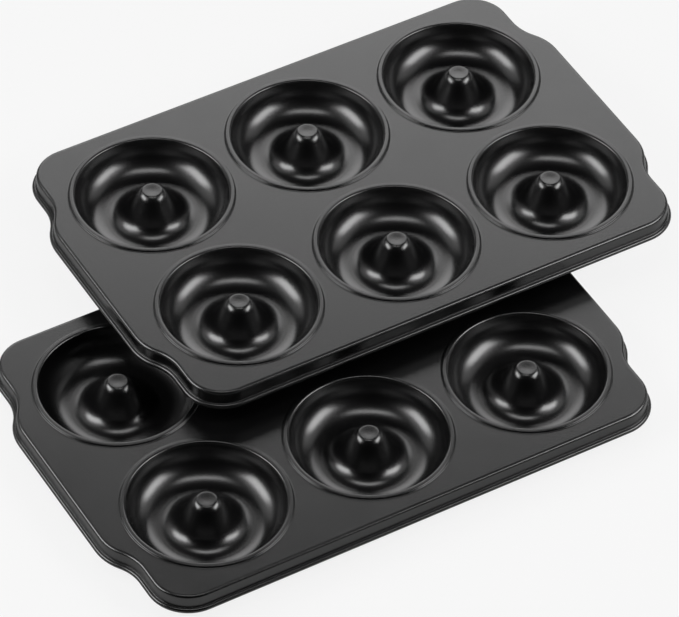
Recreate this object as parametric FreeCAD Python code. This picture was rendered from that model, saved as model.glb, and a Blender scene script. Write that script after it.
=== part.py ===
import FreeCAD, Part
import math
import os
from FreeCAD import Vector

# A set of two pressed-steel donut baking pans, the upper one laid over the back of the lower one.
# Millimetres, +Z up. The origin is under the middle of the set, on the surface that it stands on.

# Sheet
sheet = 0.6

# Cups
cup_columns = 3
cup_rows = 2
cup_gap = 6.2
mouth_radius = 40.0
cup_depth = 16.5
wall_draft = 6.0
wall_straight = 1.6
foot_width = 1.6

# Raised ring round each cup
ring_width = 3.1
ring_rise = 1.0
ring_bend_inside = 0.15
lip_radius = 1.3

# Peg in the middle of each cup, with a slightly dished end
peg_disc_radius = 4.5
peg_dish = 0.2
peg_rise = 1.6
peg_edge_inside = 0.9
peg_edge_slope = 32.0
peg_shoulder_radius = 7.0
flare_inset = 29.5

# Plate outline, measured at the top of the turned-down edge
side_margin = 9.5
end_margin = 5.0
corner_radius = 20.0
shoulder_straight = 9.3
handle_reach = 9.2
handle_sway = 29.0

# Turned-down edge, rolled outward round a wire
edge_radius = 1.6
skirt_flare = 2.0
neck_radius = 0.35
flange_width = 0.35
bead_drop = 10.0
curl_angle = 250.0
wire_diameter = 1.3
wire_clearance = 0.05

# How the upper pan lies over the lower one
stack_shift_x = 71.8
stack_shift_y = 95.8
stack_clearance = 0.3

# Heights above the surface that a pan stands on
ring_top = sheet + cup_depth
land_top = ring_top - ring_rise
pan_height = ring_top + peg_rise

# Places of the cups, and the outline that goes round them
ring_outer_radius = mouth_radius + ring_width
cup_pitch = 2 * ring_outer_radius + cup_gap
pan_width = (cup_rows - 1) * cup_pitch + 2 * (ring_outer_radius + side_margin)
shoulder_length = (cup_columns - 1) * cup_pitch + 2 * (ring_outer_radius + end_margin)
handle_straight = pan_width - 2 * (corner_radius + shoulder_straight + handle_sway)

# Sizes that follow from the sheet and from the fits between neighbouring bends
ring_bend_radius = sheet + ring_bend_inside
peg_edge_radius = sheet + peg_edge_inside
# Wall, foot and peg take the flare's inset out of the mouth, and the flare takes the rest
peg_flare_radius = mouth_radius - flare_inset
ring_bend_turn = math.acos(1 - ring_rise / (2 * ring_bend_radius))
ring_foot_radius = ring_outer_radius + ring_bend_radius * math.sin(ring_bend_turn)
flare = math.radians(skirt_flare)
edge_run = edge_radius * math.cos(flare)
bead_radius = wire_diameter / 2 + wire_clearance + sheet
skirt_drop = bead_drop - 2 * bead_radius - (edge_radius + neck_radius) * (1 - math.sin(flare))
bead_out = skirt_drop * math.tan(flare) + neck_radius * math.cos(flare) + flange_width
bead_centre = (bead_out, land_top - bead_drop + bead_radius)


def walk(start, heading, moves, offset=0.0):
    # Follow tangent lines and arcs in a plane. A move is (length, 0) for a line, or (radius, turn) for an
    # arc with its turn in radians, positive to the left. The offset shifts the whole path to its left.
    angle = heading
    x = start[0] - offset * math.sin(angle)
    y = start[1] + offset * math.cos(angle)
    for size, turn in moves:
        if turn == 0:
            stretch = {"from": (x, y), "angle": angle}
            x += size * math.cos(angle)
            y += size * math.sin(angle)
        else:
            swing = math.copysign(size, turn) - offset
            centre = (x - swing * math.sin(angle), y + swing * math.cos(angle))
            middle = angle + turn / 2
            halfway = (centre[0] + swing * math.sin(middle), centre[1] - swing * math.cos(middle))
            stretch = {"from": (x, y), "angle": angle, "centre": centre, "halfway": halfway, "turn": turn}
            angle += turn
            x = centre[0] + swing * math.sin(angle)
            y = centre[1] - swing * math.cos(angle)
        stretch["to"] = (x, y)
        yield stretch


def draw(stretches, place):
    # Edges of a walked path, with each plane point put into space by place
    edges = []
    for stretch in stretches:
        first, last = place(stretch["from"]), place(stretch["to"])
        if "centre" in stretch:
            edges.append(Part.Arc(first, place(stretch["halfway"]), last).toShape())
        else:
            edges.append(Part.LineSegment(first, last).toShape())
    return edges


def upright(point):
    return Vector(point[0], 0, point[1])


def level(point):
    return Vector(point[0], point[1], 0)


def bent_sheet(start, heading, moves, underside):
    # Section of a bent sheet: its upper path, the same path one sheet away, and its two cut ends
    upper = list(walk(start, heading, moves))
    lower = list(walk(start, heading, moves, underside * sheet))
    edges = draw(upper, upright) + draw(lower, upright)
    for end, side in ((0, "from"), (-1, "to")):
        edges.append(Part.LineSegment(upright(upper[end][side]), upright(lower[end][side])).toShape())
    return Part.Face(Part.Wire(Part.sortEdges(edges)[0]))


def cup_moves():
    # Upper face of one cup, from the foot of its ring inward to the axis of its peg
    draft = math.radians(wall_draft)
    lip_turn = math.pi / 2 - draft
    lip_drop = lip_radius * (1 - math.sin(draft))
    lip_run = lip_radius * math.cos(draft)
    floor_radius = (cup_depth - lip_drop - wall_straight) / (1 - math.sin(draft))
    wall_run = wall_straight * math.tan(draft) + floor_radius * math.cos(draft)
    ring_flat = ring_outer_radius - ring_bend_radius * math.sin(ring_bend_turn) - mouth_radius - lip_run
    dish_turn = 2 * math.atan(peg_dish / peg_disc_radius)
    edge_turn = math.radians(peg_edge_slope)
    # The cone of the peg is the line that touches both the flare and the shoulder
    inset = peg_shoulder_radius - peg_edge_radius
    shoulder_x = peg_disc_radius + peg_edge_radius * math.sin(dish_turn) - inset * math.sin(edge_turn)
    shoulder_z = cup_depth + peg_rise - peg_edge_radius - inset * math.cos(edge_turn)
    across = mouth_radius - wall_run - foot_width - shoulder_x
    down = shoulder_z - peg_flare_radius
    apart = math.hypot(across, down)
    bends = peg_shoulder_radius + peg_flare_radius
    cone_turn = math.asin(bends / apart) + math.atan2(down, across)
    cone_length = math.sqrt(apart ** 2 - bends ** 2)
    return [
        (ring_bend_radius, -ring_bend_turn),
        (ring_bend_radius, ring_bend_turn),
        (ring_flat, 0),
        (lip_radius, lip_turn),
        (wall_straight / math.cos(draft), 0),
        (floor_radius, -lip_turn),
        (foot_width, 0),
        (peg_flare_radius, -cone_turn),
        (cone_length, 0),
        (peg_shoulder_radius, cone_turn - edge_turn),
        (peg_edge_radius, edge_turn + dish_turn),
        (peg_disc_radius / math.sin(dish_turn), -dish_turn),
    ]


def make_cup():
    # One cup with its ring and its hollow peg, turned from a section of constant thickness
    section = bent_sheet((ring_foot_radius, land_top), math.pi, cup_moves(), 1)
    return section.revolve(Vector(0, 0, 0), Vector(0, 0, 1), 360)


def rim_moves():
    # Outer face of the edge: over the top, down the skirt, out along a narrow flange and round the bead
    skirt_heading = flare - math.pi / 2
    return [
        (edge_radius, skirt_heading),
        (skirt_drop / math.cos(flare), 0),
        (neck_radius, -skirt_heading),
        (flange_width, 0),
        (bead_radius, -math.radians(curl_angle)),
    ]


def rim_section():
    return bent_sheet((-edge_run, land_top), 0, rim_moves(), -1)


def wire_section():
    circle = Part.Circle(upright(bead_centre), Vector(0, 1, 0), wire_diameter / 2)
    return Part.Face(Part.Wire(circle.toShape()))


def outline_walk(inset=0.0):
    # The plate's outline, anticlockwise from the left end of its front edge
    bend = 2 * math.atan(handle_reach / handle_sway)
    bend_radius = handle_sway / (2 * math.sin(bend))
    corner = (corner_radius, math.pi / 2)
    shoulder = (shoulder_straight, 0)
    outward = (bend_radius, -bend)
    inward = (bend_radius, bend)
    end = [corner, shoulder, outward, inward, (handle_straight, 0), inward, outward, shoulder, corner]
    side = [(shoulder_length - 2 * corner_radius, 0)]
    start = (corner_radius - shoulder_length / 2, -pan_width / 2)
    return walk(start, 0, side + end + side + end, inset)


def sweep_round(section):
    # Carry a section of the edge round the outline, straight along lines and turned round arcs
    lengths = []
    for stretch in outline_walk():
        piece = section.copy()
        piece.rotate(Vector(0, 0, 0), Vector(0, 0, 1), math.degrees(stretch["angle"]) - 90)
        piece.translate(level(stretch["from"]))
        if "centre" in stretch:
            axis = Vector(0, 0, 1)
            lengths.append(piece.revolve(level(stretch["centre"]), axis, math.degrees(stretch["turn"])))
        else:
            lengths.append(piece.extrude(level(stretch["to"]) - level(stretch["from"])))
    return lengths


def cup_places():
    for column in range(cup_columns):
        for row in range(cup_rows):
            x = (column - (cup_columns - 1) / 2) * cup_pitch
            y = (row - (cup_rows - 1) / 2) * cup_pitch
            yield Vector(x, y, 0)


def make_plate():
    # The flat land between the cups, out to where the edge turns down
    plate = Part.Face(Part.Wire(draw(outline_walk(edge_run), level)))
    for place in cup_places():
        hole = Part.Circle(place, Vector(0, 0, 1), ring_foot_radius)
        plate = plate.cut(Part.Face(Part.Wire(hole.toShape())))
    plate = plate.extrude(Vector(0, 0, -sheet))
    plate.translate(Vector(0, 0, land_top))
    return plate


def make_pan_sheet():
    # One pressing: land, cups with rings and pegs, skirt and bead
    pieces = sweep_round(rim_section())
    cup = make_cup()
    for place in cup_places():
        pressed = cup.copy()
        pressed.translate(place)
        pieces.append(pressed)
    return make_plate().multiFuse(pieces).removeSplitter()


def make_rim_wire():
    lengths = sweep_round(wire_section())
    return lengths[0].multiFuse(lengths[1:]).removeSplitter()


os.makedirs("parts", exist_ok=True)

pieces = {"sheet": make_pan_sheet(), "rim_wire": make_rim_wire()}
half_shift = Vector(stack_shift_x / 2, stack_shift_y / 2, 0)
places = {
    "lower_pan": -half_shift,
    "upper_pan": half_shift + Vector(0, 0, pan_height + stack_clearance),
}

for pan, place in places.items():
    for piece, shape in pieces.items():
        placed = shape.copy()
        placed.translate(place)
        placed.exportStep("parts/" + pan + "_" + piece + ".step")
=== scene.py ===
import bmesh
import bpy
import math
from mathutils import Matrix, Vector


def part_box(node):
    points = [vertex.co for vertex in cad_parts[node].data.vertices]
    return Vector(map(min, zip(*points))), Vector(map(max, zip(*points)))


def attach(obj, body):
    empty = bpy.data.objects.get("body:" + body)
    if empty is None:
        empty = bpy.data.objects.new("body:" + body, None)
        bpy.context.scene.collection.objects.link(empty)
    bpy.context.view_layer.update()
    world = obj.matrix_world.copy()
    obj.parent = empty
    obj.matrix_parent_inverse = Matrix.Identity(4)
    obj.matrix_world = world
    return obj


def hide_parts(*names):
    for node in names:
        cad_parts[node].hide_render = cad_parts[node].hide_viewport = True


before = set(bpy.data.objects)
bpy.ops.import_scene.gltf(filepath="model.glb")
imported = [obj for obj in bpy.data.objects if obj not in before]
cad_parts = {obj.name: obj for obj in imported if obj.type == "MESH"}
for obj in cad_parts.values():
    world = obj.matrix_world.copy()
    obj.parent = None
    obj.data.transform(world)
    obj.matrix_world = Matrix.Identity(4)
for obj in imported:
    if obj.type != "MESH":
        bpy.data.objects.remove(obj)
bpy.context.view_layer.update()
mm = 0.001
print("frame loaded:", ", ".join(sorted(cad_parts)))


class Wire:  # one shader socket; maths on it adds Math nodes, node() adds any other node
    def __init__(self, tree, socket=None):
        self.tree = tree
        self.socket = socket

    def node(self, kind, settings=None, inputs=None, output=0):
        made = self.tree.nodes.new("ShaderNode" + kind)
        for name, value in (settings or {}).items():
            setattr(made, name, value)
        for name, value in (inputs or {}).items():
            if isinstance(value, Wire):
                self.tree.links.new(value.socket, made.inputs[name])
            else:
                made.inputs[name].default_value = value
        return Wire(self.tree, made.outputs[output]) if len(made.outputs) else made

    def math(self, operation, first, second):
        return self.node("Math", {"operation": operation}, {0: first, 1: second})

    def __add__(self, other):
        return self.math("ADD", self, other)

    def __sub__(self, other):
        return self.math("SUBTRACT", self, other)

    def __mul__(self, other):
        return self.math("MULTIPLY", self, other)

    __radd__ = __add__


def newTree(owner):
    owner.use_nodes = True
    owner.node_tree.nodes.clear()
    return Wire(owner.node_tree)


def newMaterial(name):
    material = bpy.data.materials.new(name)
    return material, newTree(material)


coating = {
    "dark": (0.0010, 0.0010, 0.0011, 1), "light": (0.0022, 0.0022, 0.0023, 1),  # black, barely mottled
    "roughness": 0.25, "roughnessSpread": 0.06, "ior": 1.7,
    "peelScale": 1000, "peelDetail": 2.0, "peelDepth": 0.00003, "peelStrength": 0.5,  # orange peel
    "cloudScale": 45, "cloudDetail": 4.0,
}


def makeCoating():
    material, wire = newMaterial("nonstick_coating")
    place = wire.node("TexCoord", output="Object")
    peel = wire.node("TexNoise", None, {"Vector": place, "Scale": coating["peelScale"],
                                        "Detail": coating["peelDetail"]})
    cloud = wire.node("TexNoise", None, {"Vector": place, "Scale": coating["cloudScale"],
                                         "Detail": coating["cloudDetail"]})
    colour = wire.node("Mix", {"data_type": "RGBA"},
                       {"Factor": cloud, 6: coating["dark"], 7: coating["light"]}, 2)
    rough = coating["roughness"] + (cloud - 0.5) * coating["roughnessSpread"]  # noise lies about one half
    bump = wire.node("Bump", None, {"Height": peel, "Strength": coating["peelStrength"],
                                    "Distance": coating["peelDepth"]})
    surface = wire.node("BsdfPrincipled", None, {"Base Color": colour, "Roughness": rough, "Normal": bump,
                                                 "IOR": coating["ior"]})
    wire.node("OutputMaterial", None, {"Surface": surface})
    return material


wireFinish = {
    "dull": (0.30, 0.30, 0.31, 1), "bright": (0.42, 0.42, 0.43, 1),  # drawn steel
    "drawScale": 900, "drawDetail": 3.0, "roughness": 0.35, "roughnessSpread": 0.2,
}


def makeWireSteel():
    material, wire = newMaterial("rim_wire_steel")
    place = wire.node("TexCoord", output="Object")
    draw = wire.node("TexNoise", None, {"Vector": place, "Scale": wireFinish["drawScale"],
                                        "Detail": wireFinish["drawDetail"]})
    colour = wire.node("Mix", {"data_type": "RGBA"},
                       {"Factor": draw, 6: wireFinish["dull"], 7: wireFinish["bright"]}, 2)
    rough = wireFinish["roughness"] + (draw - 0.5) * wireFinish["roughnessSpread"]
    surface = wire.node("BsdfPrincipled", None, {"Base Color": colour, "Roughness": rough, "Metallic": 1.0})
    wire.node("OutputMaterial", None, {"Surface": surface})
    return material


pan = {  # millimetres, as the pressing is drawn
    "sheet": 0.6, "width": 197.6, "shoulderLength": 281.0,
    "handleReach": 9.2, "handleStraight": 81.0, "handleSpan": 139.0, "cornerRadius": 20.0,
    "columns": 3, "rows": 2, "columnPitch": 92.4, "rowPitch": 92.4,
    "mouthRadius": 40.0, "cupDepth": 16.5, "wallDraft": 6.0, "wallStraight": 1.6, "footWidth": 1.6,
    "ringOuter": 43.1, "ringRise": 1.0, "ringBend": 0.75, "lipRadius": 1.3,
    "pegDisc": 4.5, "pegDish": 0.2, "pegRise": 1.6, "pegEdge": 1.5, "pegEdgeSlope": 32.0,
    "pegShoulder": 7.0, "pegFlare": 10.5,
    "edgeRadius": 1.6, "skirtFlare": 2.0, "neck": 0.35, "flange": 0.35, "beadDrop": 10.0,
    "curl": 250.0, "wireDiameter": 1.3, "wireClearance": 0.05,
}
fineness = {  # degrees per step of a bend, and millimetres of even land or wall beside it
    "cupSides": 72, "wideStep": 6, "tightStep": 14, "wideRadius": 4, "outlineStep": 6,
    "margin": 0.4, "lineMargin": 0.12, "lineShare": 0.2,
}
ringTop = pan["sheet"] + pan["cupDepth"]
landTop = ringTop - pan["ringRise"]
ringTurn = math.acos(1 - pan["ringRise"] / (2 * pan["ringBend"]))
ringFoot = pan["ringOuter"] + pan["ringBend"] * math.sin(ringTurn)
edgeRun = pan["edgeRadius"] * math.cos(math.radians(pan["skirtFlare"]))


def followBends(start, heading, moves, wideStep, tightStep):  # moves are (length, 0) or (radius, turn)
    x, y = start
    angle = heading
    points = [(x, y, -math.sin(angle), math.cos(angle))]  # place, and the way to its left
    for size, turn in moves:
        if turn == 0:
            edge = min(fineness["lineMargin"], fineness["lineShare"] * size)
            for along in (edge, size - edge, size):
                points.append((x + along * math.cos(angle), y + along * math.sin(angle),
                               -math.sin(angle), math.cos(angle)))
        else:
            swing = math.copysign(size, turn)
            centreX, centreY = x - swing * math.sin(angle), y + swing * math.cos(angle)
            step = wideStep if size > fineness["wideRadius"] else tightStep
            count = max(2, math.ceil(abs(math.degrees(turn)) / step))
            for i in range(1, count + 1):
                now = angle + turn * i / count
                points.append((centreX + swing * math.sin(now), centreY - swing * math.cos(now),
                               -math.sin(now), math.cos(now)))
            angle += turn
        x, y = points[-1][:2]
    return points


def cupBends():  # upper face of a cup, from the foot of its ring in to the axis of its peg
    draft = math.radians(pan["wallDraft"])
    lipTurn = math.pi / 2 - draft
    lipDrop = pan["lipRadius"] * (1 - math.sin(draft))
    floorRadius = (pan["cupDepth"] - lipDrop - pan["wallStraight"]) / (1 - math.sin(draft))
    wallRun = pan["wallStraight"] * math.tan(draft) + floorRadius * math.cos(draft)
    ringFlat = (pan["ringOuter"] - pan["ringBend"] * math.sin(ringTurn)
                - pan["mouthRadius"] - pan["lipRadius"] * math.cos(draft))
    dishTurn = 2 * math.atan(pan["pegDish"] / pan["pegDisc"])
    edgeTurn = math.radians(pan["pegEdgeSlope"])
    inset = pan["pegShoulder"] - pan["pegEdge"]
    shoulderX = pan["pegDisc"] + pan["pegEdge"] * math.sin(dishTurn) - inset * math.sin(edgeTurn)
    shoulderZ = pan["cupDepth"] + pan["pegRise"] - pan["pegEdge"] - inset * math.cos(edgeTurn)
    across = pan["mouthRadius"] - wallRun - pan["footWidth"] - shoulderX
    down = shoulderZ - pan["pegFlare"]
    apart = math.hypot(across, down)
    bends = pan["pegShoulder"] + pan["pegFlare"]
    coneTurn = math.asin(bends / apart) + math.atan2(down, across)
    return [
        (pan["ringBend"], -ringTurn), (pan["ringBend"], ringTurn), (ringFlat, 0),
        (pan["lipRadius"], lipTurn), (pan["wallStraight"] / math.cos(draft), 0), (floorRadius, -lipTurn),
        (pan["footWidth"], 0), (pan["pegFlare"], -coneTurn), (math.sqrt(apart ** 2 - bends ** 2), 0),
        (pan["pegShoulder"], coneTurn - edgeTurn), (pan["pegEdge"], edgeTurn + dishTurn),
        (pan["pegDisc"] / math.sin(dishTurn), -dishTurn),
    ]


def rimBends():  # over the edge, down the skirt, out along the flange and round the bead
    flare = math.radians(pan["skirtFlare"])
    beadRadius = pan["wireDiameter"] / 2 + pan["wireClearance"] + pan["sheet"]
    skirtDrop = pan["beadDrop"] - 2 * beadRadius - (pan["edgeRadius"] + pan["neck"]) * (1 - math.sin(flare))
    return [(pan["edgeRadius"], flare - math.pi / 2), (skirtDrop / math.cos(flare), 0),
            (pan["neck"], math.pi / 2 - flare), (pan["flange"], 0), (beadRadius, -math.radians(pan["curl"]))]


def outlineBends():  # the plate's outline, anticlockwise from the left end of its front edge
    sway = (pan["handleSpan"] - pan["handleStraight"]) / 2
    bend = 2 * math.atan(pan["handleReach"] / sway)
    radius = sway / (2 * math.sin(bend))
    corner = (pan["cornerRadius"], math.pi / 2)
    shoulder = ((pan["width"] - pan["handleSpan"]) / 2 - pan["cornerRadius"], 0)
    outward, inward = (radius, -bend), (radius, bend)
    end = [corner, shoulder, outward, inward, (pan["handleStraight"], 0), inward, outward, shoulder, corner]
    side = [(pan["shoulderLength"] - 2 * pan["cornerRadius"], 0)]
    return side + end + side + end


def skinRings(bm, rings):  # quads between closed rings that have as many points each
    for ringA, ringB in zip(rings, rings[1:]):
        count = len(ringA)
        for i in range(count):
            j = (i + 1) % count
            bm.faces.new((ringA[i], ringA[j], ringB[j], ringB[i]))


def addCup(bm, centreX, centreY):  # both faces of a cup; returns the two rings that the land meets
    path = followBends((ringFoot, landTop), math.pi, cupBends(), fineness["wideStep"], fineness["tightStep"])
    path = [(ringFoot + fineness["margin"], landTop, 0, -1)] + path
    sides = fineness["cupSides"]
    outer = []
    for thick in (0, pan["sheet"]):
        rings = []
        for x, z, leftX, leftZ in path[:-1]:
            reach = x + thick * leftX
            height = z + thick * leftZ
            ring = []
            for i in range(sides):
                turn = 2 * math.pi * i / sides
                place = (centreX + reach * math.cos(turn), centreY + reach * math.sin(turn), height)
                ring.append(bm.verts.new(Vector(place) * mm))
            rings.append(ring)
        skinRings(bm, rings)
        tip = bm.verts.new(Vector((centreX, centreY, path[-1][1] - thick)) * mm)
        for i in range(sides):
            bm.faces.new((rings[-1][i], rings[-1][(i + 1) % sides], tip))
        outer.append(rings[0])
    return outer


def addRim(bm):  # skirt and bead carried round the outline; returns the two rings that the land meets
    start = (pan["cornerRadius"] - pan["shoulderLength"] / 2, -pan["width"] / 2)
    stations = followBends(start, 0, outlineBends(), fineness["outlineStep"], fineness["outlineStep"])[:-1]
    path = followBends((-edgeRun, landTop), 0, rimBends(), fineness["wideStep"], fineness["tightStep"])
    path = [(-edgeRun - fineness["margin"], landTop, 0, 1)] + path
    section = [(x, z) for x, z, leftX, leftZ in path]
    section += [(x - pan["sheet"] * leftX, z - pan["sheet"] * leftZ)
                for x, z, leftX, leftZ in reversed(path)]
    rings = []
    for out, z in section:
        rings.append([bm.verts.new(Vector((x - out * leftX, y - out * leftY, z)) * mm)
                      for x, y, leftX, leftY in stations])
    skinRings(bm, rings)
    return rings[0], rings[-1]


def ringEdges(bm, ring):
    return [bm.edges.get((ring[i], ring[(i + 1) % len(ring)])) for i in range(len(ring))]


def buildPanMesh():
    bm = bmesh.new()
    landRings = [[ring] for ring in addRim(bm)]
    for column in range(pan["columns"]):
        for row in range(pan["rows"]):
            x = (column - (pan["columns"] - 1) / 2) * pan["columnPitch"]
            y = (row - (pan["rows"] - 1) / 2) * pan["rowPitch"]
            for face, ring in zip(landRings, addCup(bm, x, y)):
                face.append(ring)
    for rings in landRings:  # upper and under face of the flat land
        edges = [edge for ring in rings for edge in ringEdges(bm, ring)]
        bmesh.ops.triangle_fill(bm, use_beauty=True, edges=edges, normal=(0, 0, 1))
    bmesh.ops.recalc_face_normals(bm, faces=bm.faces)
    mesh = bpy.data.meshes.new("pan_pressing")
    bm.to_mesh(mesh)
    bm.free()
    mesh.shade_smooth()
    return mesh


def placePans():
    finish = makeCoating()
    steel = makeWireSteel()
    pressing = buildPanMesh()
    pressing.materials.append(finish)
    for name in ("lower_pan", "upper_pan"):
        low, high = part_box(name + "_sheet")
        piece = bpy.data.objects.new(name + "_pressing", pressing.copy())
        bpy.context.scene.collection.objects.link(piece)
        piece.location = ((low.x + high.x) / 2, (low.y + high.y) / 2, low.z)
        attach(piece, name)
        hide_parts(name + "_sheet")
        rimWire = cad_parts[name + "_rim_wire"]
        rimWire.data.materials.clear()
        rimWire.data.materials.append(steel)
    print("pans placed:", len(pressing.polygons), "faces each")


shot = {  # degrees and metres; the photograph's viewing angle
    "azimuth": -30.79, "elevation": 45.24, "roll": 1.17, "distance": 2.6, "aim": (0, 0, 0.020),
    "right": 0.0012, "up": -0.0099, "lens": 269.2, "sensorWidth": 36, "clipEnd": 100,
}


def cameraAxes():
    a, e, r = (math.radians(shot[k]) for k in ("azimuth", "elevation", "roll"))
    back = Vector((math.sin(a) * math.cos(e), -math.cos(a) * math.cos(e), math.sin(e)))
    right = Vector((math.cos(a), math.sin(a), 0))
    up = back.cross(right)
    return (math.cos(r) * right + math.sin(r) * up, math.cos(r) * up - math.sin(r) * right, back)


def addCamera():
    right, up, back = cameraAxes()
    data = bpy.data.cameras.new("photo_camera")
    data.sensor_width = shot["sensorWidth"]
    data.lens = shot["lens"]
    data.clip_end = shot["clipEnd"]
    camera = bpy.data.objects.new("photo_camera", data)
    bpy.context.scene.collection.objects.link(camera)
    place = Vector(shot["aim"]) + back * shot["distance"] + right * shot["right"] + up * shot["up"]
    camera.matrix_world = Matrix.Translation(place) @ Matrix((right, up, back)).transposed().to_4x4()
    bpy.context.scene.camera = camera
    print("camera placed")


softboxes = {  # azimuth from straight behind the pans, to the right; degrees, metres, brightness
    "left_softbox": {"azimuth": -97, "elevation": 36, "distance": 1.2, "size": (0.85, 0.42), "level": 6.2},
    "left_halo": {"azimuth": -84, "elevation": 42, "distance": 1.3, "size": (1.5, 0.8), "level": 0.75},
    "right_softbox": {"azimuth": 97, "elevation": 36, "distance": 1.2, "size": (0.85, 0.42), "level": 6.2},
    "right_halo": {"azimuth": 84, "elevation": 42, "distance": 1.3, "size": (1.5, 0.8), "level": 0.75},
    "top_softbox": {"azimuth": 180, "elevation": 84, "distance": 1.2, "size": (0.7, 0.24), "level": 4.0},
    "back_softbox": {"azimuth": 0, "elevation": 32, "distance": 4.0, "size": (3.2, 1.85), "level": 2.6},
}


def addSoftboxes():
    away = math.radians(-shot["azimuth"])  # heading from +Y to the right that looks straight away
    aim = Vector(shot["aim"])
    for name, box in softboxes.items():
        a = away + math.radians(box["azimuth"])
        e = math.radians(box["elevation"])
        direction = Vector((math.sin(a) * math.cos(e), math.cos(a) * math.cos(e), math.sin(e)))
        data = bpy.data.lights.new(name, "AREA")
        data.shape = "RECTANGLE"
        data.size, data.size_y = box["size"]
        data.energy = box["level"] * math.pi * data.size * data.size_y
        lamp = bpy.data.objects.new(name, data)
        bpy.context.scene.collection.objects.link(lamp)
        turn = direction.to_track_quat("Z", "Y").to_matrix().to_4x4()
        lamp.matrix_world = Matrix.Translation(aim + direction * box["distance"]) @ turn
    print("softboxes:", ", ".join(softboxes))


backdrop = {  # metres; the floor's share of real light keeps the shadow
    "size": 30, "drop": 0.0002, "white": (1, 1, 1, 1), "floor": (0.55, 0.55, 0.55, 1),
    "shadowShare": 0.15, "mirrored": 0.25,
    "dome": (0.01, 0.01, 0.01, 1), "dimAbove": 0.25, "whiteBelow": 0.03,  # sine of the height
    "dimBefore": -0.1, "whiteBehind": 0.5,  # cosine from straight behind the pans
}


def addFloor():
    material, wire = newMaterial("floor_white")
    paths = [wire.node("LightPath", output=name) for name in
             ("Is Camera Ray", "Is Glossy Ray", "Is Transmission Ray")]
    seen = paths[0] + paths[1] * backdrop["mirrored"] + paths[2]
    lit = wire.node("BsdfDiffuse", None, {"Color": backdrop["floor"]})
    white = wire.node("Emission", None, {"Color": backdrop["white"], "Strength": 1.0})
    share = seen * (1 - backdrop["shadowShare"])
    mixed = wire.node("MixShader", None, {0: share, 1: lit, 2: white})
    wire.node("OutputMaterial", None, {"Surface": mixed})
    half = backdrop["size"] / 2
    mesh = bpy.data.meshes.new("floor")
    corners = [(-half, -half, 0), (half, -half, 0), (half, half, 0), (-half, half, 0)]
    mesh.from_pydata(corners, [], [(0, 1, 2, 3)])
    mesh.materials.append(material)
    floor = bpy.data.objects.new("floor", mesh)
    bpy.context.scene.collection.objects.link(floor)
    floor.location.z = -backdrop["drop"]
    print("floor laid")


def addWorld():
    world = bpy.data.worlds.new("studio")
    bpy.context.scene.world = world
    wire = newTree(world)
    direction = wire.node("TexCoord", output="Generated")
    height = wire.node("SeparateXYZ", None, {"Vector": direction}, "Z")
    away = math.radians(-shot["azimuth"])
    behind = wire.node("VectorMath", {"operation": "DOT_PRODUCT"},
                       {0: direction, 1: (math.sin(away), math.cos(away), 0)}, "Value")
    low = wire.node("MapRange", {"interpolation_type": "SMOOTHSTEP"},
                    {"Value": height, "From Min": backdrop["dimAbove"],
                     "From Max": backdrop["whiteBelow"]})
    rear = wire.node("MapRange", {"interpolation_type": "SMOOTHSTEP"},
                     {"Value": behind, "From Min": backdrop["dimBefore"],
                      "From Max": backdrop["whiteBehind"]})
    colour = wire.node("Mix", {"data_type": "RGBA"},
                       {"Factor": low * rear, 6: backdrop["dome"], 7: backdrop["white"]}, 2)
    sky = wire.node("Background", None, {"Color": colour, "Strength": 1.0})
    wire.node("OutputWorld", None, {"Surface": sky})
    print("studio dome set")


placePans()
addCamera()
addSoftboxes()
addFloor()
addWorld()
bpy.context.scene.view_settings.view_transform = "Standard"
